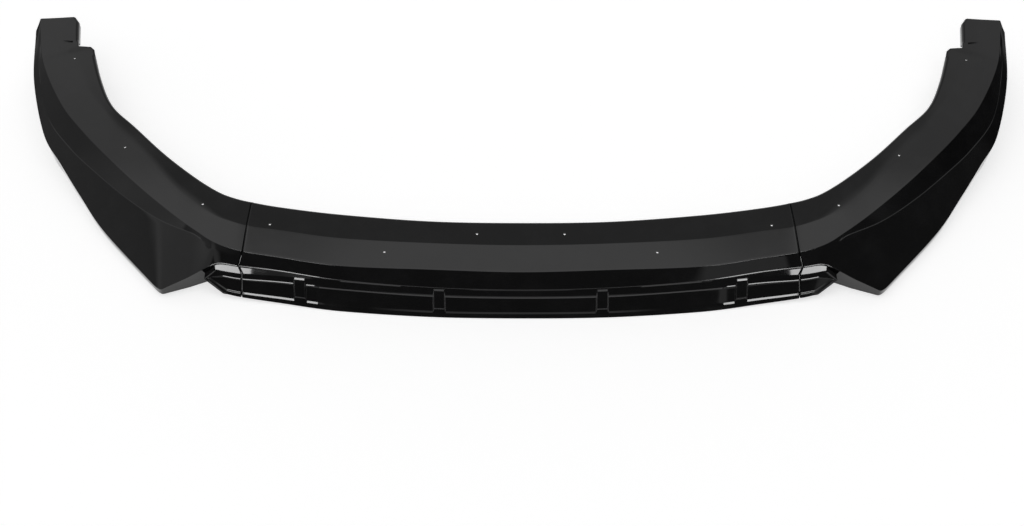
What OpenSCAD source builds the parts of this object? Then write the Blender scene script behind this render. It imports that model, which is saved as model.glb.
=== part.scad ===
// Front splitter lip for a car: three gloss black mouldings screwed together at two seams.
// X runs across the car, the front faces -Y, +Z is up and Z = 0 is the ground that it rests on.

/* [Overall] */
// Width across the outer edges of the wings
overall_width = 1794; // [1700:1:1900]
// Length from the front edge of the blade to the ends of the wings
overall_depth = 602; // [560:1:650]
// Wall thickness of the mouldings
wall = 3; // [2:0.1:4]

/* [Flange and ridge] */
// Height of the ridge line above the ground at the middle
ridge_height = 66; // [60:1:72]
// Height of the flat rear flange above the ridge line
flange_rise = 7; // [3:0.5:10]
// Rise of the flange from the middle to the wing tips
tip_rise = 14; // [6:1:20]
// Depth of the turned down rim along the rear edge
rim_depth = 14; // [8:1:20]
// Radius along the ridge line
ridge_radius = 2; // [1:0.25:3]

/* [Blade] */
// Height of the blade's top edge at the middle
blade_height = 42; // [36:1:48]
// Width of the flat return along the blade's foot
foot_return = 13; // [9:1:18]
// Thickness of the web that closes the blade's pointed ends
web_wall = 2.2; // [1.8:0.1:3]
// Depth of the channel sunk in the blade's face
channel_depth = 4; // [2:0.5:6]
// Width of each upright rib on the blade
rib_width = 19; // [12:1:30]
// How far the ribs stand out from the blade's face
rib_proud = 3; // [1:0.5:5]
// Distance of the inner ribs from the middle
inner_rib_x = 135; // [100:1:180]
// Distance of the outer ribs from the middle
outer_rib_x = 367; // [300:1:390]

/* [Wings] */
// Height of the fin's lower edge at the front corner
corner_height = 15; // [10:1:22]
// Inward lean of the skirt over its height
skirt_draft = 0.06; // [0:0.01:0.12]
// Rounding of the front corner, as a share of a station
corner_round = 0.12; // [0.05:0.01:0.2]
// Length of the groove in front of the tip tab
groove_length = 42; // [20:1:50]
// Width of that groove
groove_width = 4; // [2:0.5:6]
// Depth of that groove
groove_depth = 1.6; // [0.8:0.1:1.8]

/* [Seams] */
// Visible gap between two mouldings
seam_gap = 1.8; // [0.6:0.1:3]
// Thickness of the end walls under the flange
end_wall = 3; // [2:0.25:4]
// Thread diameter of the screws through the end walls
joint_screw_d = 3.9; // [3:0.1:4.5]
// Hole diameter in the end walls
joint_hole_d = 4.3; // [3.5:0.1:5]
// Length of those screws under the head
joint_screw_length = 12; // [8:1:20]
// Diameter of their washer heads
joint_head_d = 9.5; // [7:0.5:11]

/* [Fixing holes] */
// Diameter of the holes for the screws into the bumper
fixing_hole_d = 5; // [4:0.1:6]

/* [Hidden] */
gloss_black = [0.07, 0.07, 0.075];
zinc = [0.72, 0.72, 0.7];

// Stations run along the right half: 0 is the middle, 4 the seam, 5 the blade's end, 6 where the fin's crease
// is clear of the ridge, 7 the front corner, 12 the step before the tip tab and 13 the wing's end. Each line
// holds its plan point at every station, as measured from the middle and from the blade's front edge on a lip
// of the width and depth given here.
PLAN_SIZE = [1794, 602];
SEAM = 4;
BLADE_END = 5;
FIN_START = 6;
CORNER = 7;
STEP = 12;
TIP = 13;
INNER_LINE = [[0, 147], [150, 150], [300, 163.5], [400, 178], [455, 189.5], [487, 199], [515, 212],
    [556, 241], [613, 289], [672, 348], [718, 394], [746, 451], [770, 523]];
CREASE_LINE = [[0, 99], [150, 103], [300, 113], [400, 129], [458.6, 139], [497, 154], [530, 174], [573, 209],
    [626, 266], [681, 328], [729, 380], [772, 434], [817, 516], [838, 601]];
RIDGE_LINE = [[0, 49], [150, 54], [300, 61], [400, 78], [462, 90], [508, 107], [548, 135], [592, 171],
    [652, 224], [708, 279], [762, 337], [812, 402], [860, 501], [881, 602]];
FIN_CREASE_LINE = [[550, 131], [609, 160], [670.5, 206], [728, 257], [784, 313], [835, 384],
    [867.5, 489.5], [888, 602]];
FRONT_EDGE = [[0, 30.5], [150, 35], [300, 50], [400, 67], [470, 76], [510, 79], [556, 61], [604, 46]];
SIDE_EDGE = [[604, 46], [710.5, 163], [763, 237], [807.5, 304], [843.5, 361], [879, 478], [897, 602]];
BLADE_TOP = [[0, 29], [150, 33], [300, 47], [400, 57], [463, 60], [508, 70]];
BLADE_FOOT = [[0, 0], [150, 2.5], [300, 13.5], [400, 27.5], [466, 36.5], [496, 43]];
// The rear edge past the step, as its station, its distance from the middle and from the front
TAB_EDGE = [[11.93, 769, 522], [12, 776, 529], [12.03, 799, 531], [12.88, 807, 590], [13, 815, 602]];

// Heights of the lines as shares of the tip's rise, or above the ground, at the same stations
FLANGE_LIFT = [0, 0, 0, 0, 0, 0, 0.05, 0.12, 0.3, 0.45, 0.65, 0.8, 0.93, 1];
RIDGE_LIFT = [0, 0, 0, 0, 0, 0, 0, 0.07, 0.27, 0.5, 0.7, 0.92, 1.07, 1.14];
FIN_CREASE_HEIGHT = [61, 59.5, 58.5, 60, 62, 64, 66, 66];
FRONT_EDGE_RISE = [0, 0, 0, 1.5, 3, 4, -11];
SIDE_EDGE_RISE = [0, 3, 8, 16, 27, 35, 35];
BLADE_TOP_RISE = [0, 0, 0, 1, 3, 3];
BLADE_FOOT_RISE = [0, 0, 0, 3, 7, 9];

// Points of the channel and of a rib: share of the way down the blade's face, then how far out they stand
CHANNEL = [[0.27, 0], [0.33, -1], [0.76, -1], [0.82, 0]];
RIB = [[0.04, 0], [0.12, 1], [0.64, 1], [0.74, 0]];
// Outline of the blade's pointed end, as distance from the middle, from the front and above the ground
BLADE_POINT = [[521, 63.6, 32], [528, 61, 27.5], [528, 61, 25.5], [520, 58, 20]];
CHANNEL_END = 4.75;
// Run of stations over which the blade's wall thins towards its point
THIN_RUN = 0.15;
// How far the web at that end laps over the blade's foot, and the blade's first corner into the skirt's wall
WEB_LAP = [-6, 0, 0.6];
BLADE_LAP = 0.5;
// Width of the slope on each side of a rib
RIB_RAMP = 1.5;
// Run of stations over which the crease in the flange fades along the wing, and the share of it that is lost
CREASE_FADE = 5;
CREASE_LOSS = 0.6;
// Share of the way down from the ridge at which the fin's crease starts
FIN_CREASE_SHARE = 0.3;
// The skirt is short at the seam and grows to the ground between these stations. It leans towards one point.
SKIRT_START = [4.35, 4.55];
SHORT_SKIRT = 8;
LEAN_CENTRE = [500, 401];
// The rim is cut back to this depth below the wall, over this run of stations, beside the step
RIM_LIP = 0.3;
RIM_NOTCH = 0.2;
// Steps of an arc, its greatest share of the faces beside it and its least length along them
ROUND_STEPS = 2;
ARC_SHARE = 0.42;
ARC_LEAST = 0.25;

function mix(a, b, f) = a + (b - a) * f;
function clamp(v) = min(1, max(0, v));
function smooth(v) = let (c = clamp(v)) c * c * (3 - 2 * c);
function unit(v) = v / norm(v);

// Value of a list between its stations, on a smooth curve through all of them
function knot(list, i) = i < 0 ? 2 * list[0] - list[-i]
    : i >= len(list) ? 2 * list[len(list) - 1] - list[2 * len(list) - 2 - i] : list[i];
function along(list, t) = let (
        i = min(len(list) - 2, max(0, floor(t))),
        f = t - i,
        a = knot(list, i - 1),
        b = list[i],
        c = list[i + 1],
        d = knot(list, i + 2)
    ) 0.5 * (2 * b + (c - a) * f + (2 * a - 5 * b + 4 * c - d) * f * f + (3 * b - a - 3 * c + d) * f * f * f);

// A line that crosses the middle is even about it, so its slope there is zero across the car
function even(list) = concat([[-list[1].x, list[1].y]], list);
function along_even(list, t) = along(even(list), t + 1);
function steady(list, t) = along(concat([list[1]], list), t + 1);

function placed(p, z) = [
    p.x * overall_width / PLAN_SIZE.x,
    p.y * overall_depth / PLAN_SIZE.y - overall_depth / 2,
    z
];

function tab_edge(t) = let (
        k = max([for (n = [0:len(TAB_EDGE) - 2]) if (t >= TAB_EDGE[n][0]) n]),
        p = TAB_EDGE[k],
        q = TAB_EDGE[k + 1],
        f = (t - p[0]) / (q[0] - p[0])
    ) [mix(p[1], q[1], f), mix(p[2], q[2], f)];

function flange_z(t) = ridge_height + flange_rise + tip_rise * steady(FLANGE_LIFT, t);
function ridge_z(t) = ridge_height + tip_rise * steady(RIDGE_LIFT, t);

function inner_point(t) = placed(t < TAB_EDGE[0][0] ? along_even(INNER_LINE, t) : tab_edge(t), flange_z(t));
function ridge_point(t) = placed(along_even(RIDGE_LINE, t), ridge_z(t));

// The crease is full across the middle and fades along the wing
function crease_point(t) = let (
        p = placed(along_even(CREASE_LINE, t), flange_z(t)),
        a = inner_point(t),
        c = ridge_point(t),
        f = norm([p.x - a.x, p.y - a.y]) / norm([c.x - a.x, c.y - a.y]),
        fade = CREASE_LOSS * smooth((t - BLADE_END) / CREASE_FADE)
    ) [p.x, p.y, mix(flange_z(t), mix(a.z, c.z, f), fade)];

// Lower edge of the front face and of the fin, with its corner rounded off
function front_edge(t) = placed(
    t <= BLADE_END ? along_even(FRONT_EDGE, t) : mix_list(FRONT_EDGE, t),
    t <= FIN_START ? blade_height + steady(FRONT_EDGE_RISE, t)
        : mix(blade_height + FRONT_EDGE_RISE[FIN_START], corner_height, t - FIN_START)
);
function mix_list(list, t) = let (i = min(len(list) - 2, floor(t))) mix(list[i], list[i + 1], t - i);
function side_edge(t) = let (s = t - CORNER)
    placed(along(SIDE_EDGE, s), corner_height + along(SIDE_EDGE_RISE, s));
function sharp_edge(t) = t < CORNER ? front_edge(t) : side_edge(t);
function lower_edge(t) = let (s = (t - CORNER) / corner_round / 2 + 0.5)
    s <= 0 || s >= 1 ? sharp_edge(t)
    : mix(mix(sharp_edge(CORNER - corner_round), sharp_edge(CORNER), s),
          mix(sharp_edge(CORNER), sharp_edge(CORNER + corner_round), s), s);

// The fin's crease leaves the ridge past the blade's end and runs out into the lower edge near the tip
function fin_crease(t) = let (
        plain = mix(ridge_point(t), lower_edge(t), FIN_CREASE_SHARE),
        own = placed(along(FIN_CREASE_LINE, t - FIN_START), along(FIN_CREASE_HEIGHT, t - FIN_START))
    ) t <= BLADE_END ? plain : mix(plain, own, smooth(t - BLADE_END));

function skirt_foot(t) = let (
        e = lower_edge(t),
        full = smooth((t - SKIRT_START[0]) / (SKIRT_START[1] - SKIRT_START[0])),
        z = mix(e.z - SHORT_SKIRT, 0, full),
        lean = placed(LEAN_CENTRE, 0),
        back = unit([lean.x - e.x, lean.y - e.y]) * (e.z - z) * skirt_draft
    ) [e.x + back.x, e.y + back.y, z];

// Corners of the body's outer surface at a station, from the rim's foot to the skirt's foot
function rim(t) = abs(t - STEP) < RIM_NOTCH ? wall + RIM_LIP : rim_depth;
function body_corners(t) = let (a = inner_point(t)) [
    a - [0, 0, rim(t)],
    a,
    crease_point(t),
    ridge_point(t),
    fin_crease(t),
    lower_edge(t),
    skirt_foot(t)
];
BODY_RADII = [0, 3, 12, ridge_radius, 2, 2.5, 0];
RIDGE = 3;

// Corners of the blade's outer surface at a station, from behind the skirt to the end of its foot
function blade_face(t, k) = let (
        s = min(t, CHANNEL_END),
        top = blade_top(s),
        foot = blade_foot(s),
        d = foot - top,
        out = unit([0, d.z, -d.y]),
        r = rib_share(top.x),
        f = mix(CHANNEL[k][0], RIB[k][0], r),
        depth = mix(CHANNEL[k][1] * channel_depth, RIB[k][1] * rib_proud, r)
    ) mix(top, foot, f) + out * depth;
function rib_share(x) = max([for (c = [inner_rib_x, outer_rib_x])
    clamp((rib_width / 2 + RIB_RAMP - abs(x - c)) / RIB_RAMP)]);
function blade_top(t) = placed(along_even(BLADE_TOP, t), blade_height + steady(BLADE_TOP_RISE, t));
function blade_foot(t) = placed(along_even(BLADE_FOOT, t), max(0, steady(BLADE_FOOT_RISE, t)));
function blade_mid(t, k) = let (
        share = (t - CHANNEL_END) / (BLADE_END - CHANNEL_END)
    ) t <= CHANNEL_END ? blade_face(t, k) : mix(blade_face(t, k), placed(BLADE_POINT[k], BLADE_POINT[k].z), share);
function blade_corners(t) = let (e = lower_edge(min(t, BLADE_END)), foot = blade_foot(t)) [
    e + [0, wall / 2, BLADE_LAP],
    blade_top(t),
    blade_mid(t, 0),
    blade_mid(t, 1),
    blade_mid(t, 2),
    blade_mid(t, 3),
    foot,
    foot + [0, foot_return, 0]
];
BLADE_RADII = [0, 1.5, 1, 1, 1, 1, 1, 0];

// Outer points of a section: each corner with a radius becomes a short arc
function arc(a, b, c, r) = let (
        u = unit(a - b),
        v = unit(c - b),
        half = acos(max(-1, min(1, u * v))) / 2,
        d = max(ARC_LEAST, min(r / tan(max(1, half)), ARC_SHARE * norm(a - b), ARC_SHARE * norm(c - b)))
    ) [for (k = [0:ROUND_STEPS]) let (q = k / ROUND_STEPS)
        mix(mix(b + u * d, b, q), mix(b, b + v * d, q), q)];
function rounded(c, radii) = [for (j = [0:len(c) - 1])
    each radii[j] == 0 ? [c[j]] : arc(c[j - 1], c[j], c[j + 1], radii[j])];
function owners(radii) = [for (j = [0:len(radii) - 1])
    each radii[j] == 0 ? [j] : [for (k = [0:ROUND_STEPS]) j]];

// Inner point of a corner: moved in by the thickness from both faces that meet there
function face_normal(s, i, j, guide) = let (
        run = s[min(i + 1, len(s) - 1)][max(j, guide)] - s[max(i - 1, 0)][max(j, guide)],
        across = s[i][j + 1] - s[i][j]
    ) unit(cross(across, run));
function inner_corner(s, i, j, t, guide) = let (
        last = len(s[i]) - 1,
        m = face_normal(s, i, max(0, j - 1), guide),
        n = face_normal(s, i, min(last - 1, j), guide)
    ) s[i][j] - t * (m + n) / (1 + m * n);

// A moulded sheet through a row of sections, with a thickness at each one. Corners before the guide
// are taken to run beside it, so that a step in the first edge leaves the thickness alone.
module sheet(sections, radii, walls, guide = 0) {
    own = owners(radii);
    m = len(own);
    k = len(radii);
    n = len(sections);
    points = [for (i = [0:n - 1]) each concat(
        rounded(sections[i], radii),
        [for (j = [0:k - 1]) inner_corner(sections, i, j, walls[i], guide)]
    )];
    function o(i, j) = i * (m + k) + j;
    function w(i, j) = i * (m + k) + m + j;
    outer = [for (i = [0:n - 2], j = [0:m - 2])
        each [[o(i, j), o(i + 1, j), o(i + 1, j + 1)], [o(i, j), o(i + 1, j + 1), o(i, j + 1)]]];
    inside = [for (i = [0:n - 2], j = [0:k - 2])
        each [[w(i, j), w(i + 1, j + 1), w(i + 1, j)], [w(i, j), w(i, j + 1), w(i + 1, j + 1)]]];
    rear = [for (i = [0:n - 2])
        each [[o(i + 1, 0), o(i, 0), w(i, 0)], [o(i + 1, 0), w(i, 0), w(i + 1, 0)]]];
    foot = [for (i = [0:n - 2])
        each [[o(i, m - 1), o(i + 1, m - 1), w(i + 1, k - 1)], [o(i, m - 1), w(i + 1, k - 1), w(i, k - 1)]]];
    start = [for (j = [0:m - 2]) each concat(
        [[o(0, j), o(0, j + 1), w(0, own[j])]],
        own[j] == own[j + 1] ? [] : [[o(0, j + 1), w(0, own[j + 1]), w(0, own[j])]]
    )];
    end = [for (j = [0:m - 2]) each concat(
        [[o(n - 1, j + 1), o(n - 1, j), w(n - 1, own[j])]],
        own[j] == own[j + 1] ? [] : [[o(n - 1, j + 1), w(n - 1, own[j]), w(n - 1, own[j + 1])]]
    )];
    polyhedron(points, concat(outer, inside, rear, foot, start, end), convexity = 10);
}

function moved(section, dx) = [for (p = section) p + [dx, 0, 0]];
function mirrored(section) = [for (p = section) [-p.x, p.y, p.z]];
function sorted(v) = len(v) < 2 ? v : concat(
    sorted([for (x = v) if (x < v[0]) x]),
    [v[0]],
    sorted([for (x = v) if (x > v[0] + 0.004) x])
);
// Station at which the blade's top edge is at a distance from the middle
function station_at(x, low = 0, high = SEAM, n = 24) = let (t = (low + high) / 2)
    n == 0 ? t : blade_top(t).x < x ? station_at(x, t, high, n - 1) : station_at(x, low, t, n - 1);

centre_stations = [each [0:0.25:3.75]];
rib_stations = [for (c = [inner_rib_x, outer_rib_x], side = [-1, 1], edge = [0, RIB_RAMP])
    station_at(c + side * (rib_width / 2 + edge))];
seam_stations = [SEAM, 4.15, 4.35, 4.45, 4.55];
fin_stations = [each [CHANNEL_END:0.25:6.5], 6.7, for (k = [-2:2]) CORNER + k * corner_round / 2,
    each [7.3:0.3:11.5], 11.7, 11.85, 11.93, STEP, 12.03, 12.25, 12.55, 12.88, TIP];

function both_sides(half) = concat(
    [for (i = [len(half) - 1:-1:1]) mirrored(half[i])],
    half
);
function centre_half(stations, section) = concat(
    [for (t = stations) section(t)],
    [moved(section(SEAM), -seam_gap / 2)]
);
function wing_row(stations, section) = [for (t = stations) moved(section(t), t == SEAM ? seam_gap / 2 : 0)];
function same(n, v) = [for (i = [1:n]) v];
function blade_wall(t) = mix(wall, wall / 2, smooth((t - CHANNEL_END) / THIN_RUN));

module centre_shell() {
    body = both_sides(centre_half(centre_stations, function (t) body_corners(t)));
    blade = both_sides(centre_half(
        sorted(concat(centre_stations, rib_stations)),
        function (t) blade_corners(t)
    ));
    sheet(body, BODY_RADII, same(len(body), wall), RIDGE);
    sheet(blade, BLADE_RADII, same(len(blade), wall));
}

module wing_shell() {
    body = wing_row(concat(seam_stations, fin_stations), function (t) body_corners(t));
    blade_stations = [SEAM, 4.25, 4.5, CHANNEL_END, 4.85, 4.93, BLADE_END];
    blade = wing_row(blade_stations, function (t) blade_corners(t));
    sheet(body, BODY_RADII, same(len(body), wall), RIDGE);
    sheet(blade, BLADE_RADII, [for (t = blade_stations) blade_wall(t)]);
    blade_end_web();
}

// Closes the blade's pointed end back to the skirt
module blade_end_web() {
    c = blade_corners(BLADE_END);
    outline = [c[1], c[2], (c[3] + c[4]) / 2, c[5], c[6], c[6] + WEB_LAP];
    web = [[for (p = outline) p + [0, web_wall / 2, 0]], [for (p = outline) [p.x, skirt_y(p.x), p.z]]];
    sheet(web, same(len(outline), 0), [web_wall, web_wall]);
}
function skirt_y(x, low = SEAM, high = FIN_START, n = 20) = let (t = (low + high) / 2)
    n == 0 ? lower_edge(t).y + wall / 2
    : lower_edge(t).x < x ? skirt_y(x, t, high, n - 1) : skirt_y(x, low, t, n - 1);

// End wall under the flange at a seam: a plate in the upright plane through the seam's ends
seam_rear = inner_point(SEAM);
seam_front = ridge_point(SEAM);
seam_turn = atan2(seam_front.y - seam_rear.y, seam_front.x - seam_rear.x);
seam_run = norm([seam_front.x - seam_rear.x, seam_front.y - seam_rear.y]);
crease_run = norm([crease_point(SEAM).x - seam_rear.x, crease_point(SEAM).y - seam_rear.y]);
flange_under = seam_rear.z - wall / 2;
ridge_under = seam_front.z - wall / 2;
// The plate's depth below the flange at the rear and below the ridge at the front, how far its upper front
// corner stands back and down, and the share of the run at which its deep part starts
REAR_DEPTH = 20;
FRONT_DEPTH = 28;
NOSE = [4, 8];
DEEP_SHARE = 0.7;
// Each screw sits at a share of the run and at a depth
rear_screw = [seam_run * 0.3, flange_under - 12];
front_screw = [seam_run * 0.85, ridge_under - 17];

module in_seam_plane() {
    translate([seam_rear.x, seam_rear.y, 0]) rotate([90, 0, seam_turn]) children();
}
module end_wall_plate() {
    in_seam_plane() difference() {
        linear_extrude(end_wall) polygon([
            [wall / 2, flange_under],
            [crease_run, flange_under],
            [seam_run - NOSE.x, ridge_under],
            [seam_run, ridge_under - NOSE.y],
            [seam_run, ridge_under - FRONT_DEPTH],
            [seam_run * DEEP_SHARE, ridge_under - FRONT_DEPTH],
            [wall / 2, flange_under - REAR_DEPTH]
        ]);
        for (s = [rear_screw, front_screw])
            translate([s.x, s.y, -1]) cylinder(d = joint_hole_d, h = end_wall + 2, $fn = 48);
    }
}

// Fixing holes, as distance from the middle and from the front edge
CENTRE_HOLES = [[-420, 141], [-226, 87], [-73, 122], [73, 122], [226, 87], [420, 141]];
LEFT_HOLES = [[-537, 183], [-685, 304], [-802, 503]];
RIGHT_HOLES = [[537, 183], [653, 289], [802, 503]];
// A drill starts this far below the ridge and is this long
DRILL_START = 20;
DRILL_LENGTH = 60;
module fixing_holes(places) {
    for (p = places) translate(placed(p, ridge_height - DRILL_START))
        cylinder(d = fixing_hole_d, h = DRILL_LENGTH, $fn = 48);
}

// Groove between the wing's flange and its tip tab
GROOVE_PLACE = [811, 541];
GROOVE_STATION = 12.4;
GROOVE_TURN = 7;
module tab_groove() {
    translate(placed(GROOVE_PLACE, flange_z(GROOVE_STATION) - groove_depth)) rotate([0, 0, GROOVE_TURN])
        translate([0, -groove_width / 2, 0]) cube([groove_length, groove_width, tip_rise]);
}

module centre_section() {
    color(gloss_black) difference() {
        union() {
            centre_shell();
            end_wall_plate();
            mirror([1, 0, 0]) end_wall_plate();
        }
        fixing_holes(CENTRE_HOLES);
    }
}

module wing(holes) {
    difference() {
        union() {
            wing_shell();
            in_wing_plane() end_wall_plate();
        }
        fixing_holes(holes);
        tab_groove();
    }
}
// The wing's end wall stands on the other side of the same plane
module in_wing_plane() {
    translate([end_wall * -sin(seam_turn), end_wall * cos(seam_turn), 0]) children();
}

module right_wing() {
    color(gloss_black) wing(RIGHT_HOLES);
}
module left_wing() {
    color(gloss_black) mirror([1, 0, 0]) wing([for (h = LEFT_HOLES) [-h.x, h.y]]);
}

// Screws through both end walls at a seam, heads on the centre moulding's side
HEAD_HEIGHT = 2.4;
HEAD_SHARE = 0.72;
WASHER = 0.7;
POINT = [0.6, 2];
module joint_screw() {
    rotate_extrude($fn = 48) polygon([
        [0, HEAD_HEIGHT],
        [joint_head_d / 2 * HEAD_SHARE - POINT.x, HEAD_HEIGHT],
        [joint_head_d / 2 * HEAD_SHARE, WASHER],
        [joint_head_d / 2, WASHER],
        [joint_head_d / 2, 0],
        [joint_screw_d / 2, 0],
        [joint_screw_d / 2, POINT.y - joint_screw_length],
        [POINT.x, -joint_screw_length],
        [0, -joint_screw_length]
    ]);
}
module joint_screws() {
    color(zinc) for (side = [0, 1]) mirror([side, 0, 0])
        in_seam_plane() for (s = [rear_screw, front_screw]) translate([s.x, s.y, end_wall]) joint_screw();
}

centre_section();
left_wing();
right_wing();
joint_screws();
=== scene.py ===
import math

import bmesh
import bpy
import numpy as np
from mathutils import Matrix, Vector


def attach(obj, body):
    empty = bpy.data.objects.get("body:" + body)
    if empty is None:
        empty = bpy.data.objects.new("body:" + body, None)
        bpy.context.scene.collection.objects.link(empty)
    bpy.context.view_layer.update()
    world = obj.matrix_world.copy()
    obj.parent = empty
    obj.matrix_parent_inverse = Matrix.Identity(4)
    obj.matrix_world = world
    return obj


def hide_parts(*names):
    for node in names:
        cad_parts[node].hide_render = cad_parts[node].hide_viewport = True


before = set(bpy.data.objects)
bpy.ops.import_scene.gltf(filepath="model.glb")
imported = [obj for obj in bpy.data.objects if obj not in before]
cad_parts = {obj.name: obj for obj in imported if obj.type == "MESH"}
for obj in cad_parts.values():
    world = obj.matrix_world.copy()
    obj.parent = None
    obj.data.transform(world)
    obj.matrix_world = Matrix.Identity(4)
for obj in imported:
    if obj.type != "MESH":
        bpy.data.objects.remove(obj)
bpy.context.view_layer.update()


# Gloss black plastic
# Every moulding is the same black plastic, polished in the mould. It has a faint moulding ripple, a little
# haze where it was handled and fine specks of dust. Its rounded ends at the seams are rough and reflect
# almost nothing, which is painted shade that darkens the seam between the mouldings.
BLACK = (0.0045, 0.0045, 0.0048, 1.0)
HAZE = (0.0105, 0.0105, 0.011, 1.0)
POLISH = 0.035
DULLED = 0.11
# Roughness and near-zero shine of the seam ends, which paint shade into the seams.
SEAM_SHADE_ROUGHNESS = 0.6
PAINTED_SEAM_SHADE_SHINE = 0.03
PLAIN_SHINE = 0.5
PLASTIC_IOR = 1.5
RIPPLE_STRENGTH = 0.03
RIPPLE_DISTANCE = 0.002


def add_node(tree, kind, **settings):
    node = tree.nodes.new(kind)
    for name, value in settings.items():
        if name.startswith("in_"):
            node.inputs[name[3:].replace("_", " ")].default_value = value
        else:
            setattr(node, name, value)
    return node


def moulding_wear_group():
    """Colour, roughness and height of a polished moulding, all varying over the surface."""
    tree = bpy.data.node_groups.new("moulding_wear", "ShaderNodeTree")
    for name, kind in (("Clean", "NodeSocketColor"), ("Hazed", "NodeSocketColor"),
                       ("Polished", "NodeSocketFloat"), ("Dulled", "NodeSocketFloat")):
        tree.interface.new_socket(name, in_out="INPUT", socket_type=kind)
    for name, kind in (("Color", "NodeSocketColor"), ("Roughness", "NodeSocketFloat"),
                       ("Ripple", "NodeSocketFloat")):
        tree.interface.new_socket(name, in_out="OUTPUT", socket_type=kind)
    given = add_node(tree, "NodeGroupInput")
    made = add_node(tree, "NodeGroupOutput")
    place = add_node(tree, "ShaderNodeTexCoord")
    ripple = add_node(tree, "ShaderNodeTexNoise", in_Scale=9.0, in_Detail=2.0, in_Roughness=0.4)
    cloud = add_node(tree, "ShaderNodeTexNoise", in_Scale=17.0, in_Detail=4.0, in_Roughness=0.62)
    dust = add_node(tree, "ShaderNodeTexNoise", in_Scale=900.0, in_Detail=2.0, in_Roughness=0.7)
    haze = add_node(tree, "ShaderNodeMapRange", in_From_Min=0.45, in_From_Max=0.75)
    specks = add_node(tree, "ShaderNodeMapRange", in_From_Min=0.7, in_From_Max=0.78)
    both = add_node(tree, "ShaderNodeMath", operation="MAXIMUM")
    colour = add_node(tree, "ShaderNodeMix", data_type="RGBA")
    rough = add_node(tree, "ShaderNodeMapRange", in_From_Min=0.0, in_From_Max=1.0)
    link = tree.links.new
    for texture in (ripple, cloud, dust):
        link(place.outputs["Object"], texture.inputs["Vector"])
    link(cloud.outputs["Fac"], haze.inputs["Value"])
    link(dust.outputs["Fac"], specks.inputs["Value"])
    link(haze.outputs["Result"], both.inputs[0])
    link(specks.outputs["Result"], both.inputs[1])
    link(both.outputs["Value"], colour.inputs["Factor"])
    link(given.outputs["Clean"], colour.inputs["A"])
    link(given.outputs["Hazed"], colour.inputs["B"])
    link(both.outputs["Value"], rough.inputs["Value"])
    link(given.outputs["Polished"], rough.inputs["To Min"])
    link(given.outputs["Dulled"], rough.inputs["To Max"])
    link(colour.outputs["Result"], made.inputs["Color"])
    link(rough.outputs["Result"], made.inputs["Roughness"])
    link(ripple.outputs["Fac"], made.inputs["Ripple"])
    return tree


moulding_wear = moulding_wear_group()


def gloss_black_plastic():
    material = bpy.data.materials.new("gloss_black_plastic")
    material.use_nodes = True
    tree = material.node_tree
    shader = tree.nodes["Principled BSDF"]
    shader.inputs["IOR"].default_value = PLASTIC_IOR
    wear = tree.nodes.new("ShaderNodeGroup")
    wear.node_tree = moulding_wear
    wear.inputs["Clean"].default_value = BLACK
    wear.inputs["Hazed"].default_value = HAZE
    wear.inputs["Polished"].default_value = POLISH
    wear.inputs["Dulled"].default_value = DULLED
    bump = add_node(tree, "ShaderNodeBump", in_Strength=RIPPLE_STRENGTH, in_Distance=RIPPLE_DISTANCE)
    # Painted shade: the mark on the rounded seam ends makes them rough and almost unreflective, so the seams
    # look dark.
    painted_seam_shade = add_node(tree, "ShaderNodeAttribute", attribute_name="painted_seam_shade")
    matt = add_node(tree, "ShaderNodeMapRange", in_To_Max=SEAM_SHADE_ROUGHNESS)
    painted_seam_dark = add_node(tree, "ShaderNodeMapRange", in_To_Min=PLAIN_SHINE, in_To_Max=PAINTED_SEAM_SHADE_SHINE)
    tree.links.new(wear.outputs["Color"], shader.inputs["Base Color"])
    tree.links.new(painted_seam_shade.outputs["Fac"], matt.inputs["Value"])
    tree.links.new(wear.outputs["Roughness"], matt.inputs["To Min"])
    tree.links.new(matt.outputs["Result"], shader.inputs["Roughness"])
    tree.links.new(painted_seam_shade.outputs["Fac"], painted_seam_dark.inputs["Value"])
    tree.links.new(painted_seam_dark.outputs["Result"], shader.inputs["Specular IOR Level"])
    tree.links.new(wear.outputs["Ripple"], bump.inputs["Height"])
    tree.links.new(bump.outputs["Normal"], shader.inputs["Normal"])
    return material


gloss_black = gloss_black_plastic()


# Centre moulding
# The middle of the lip is one injection moulding, about 3 mm thick. A turned down rim, a flat rear band, a
# ridge and a steep front face lead down to the ribbed blade. A wing is screwed to each of its ends.
MM = 0.001
PLAN_DEPTH = 602
WALL = 3
RIDGE_HEIGHT = 66
FLANGE_RISE = 7
TIP_RISE = 14
RIM_DEPTH = 14
BLADE_HEIGHT = 42
FOOT_RETURN = 13
CHANNEL_DEPTH = 2.2
CHANNEL_SHALLOW = 0.35
RIB_WIDTH = 19
RIB_PROUD = 2
RIB_RAMP = 2.6
RIB_PLACES = (135, 367)
EDGE_DROP = 1.2
LIP_WIDTH = 1.5
LIP_FALL = 0.35
LIP_DROP = 1.5
LIP_LEAN = 0.1
SEAM_GAP = 0.6
SEAM_ROUND = 1.7

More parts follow.
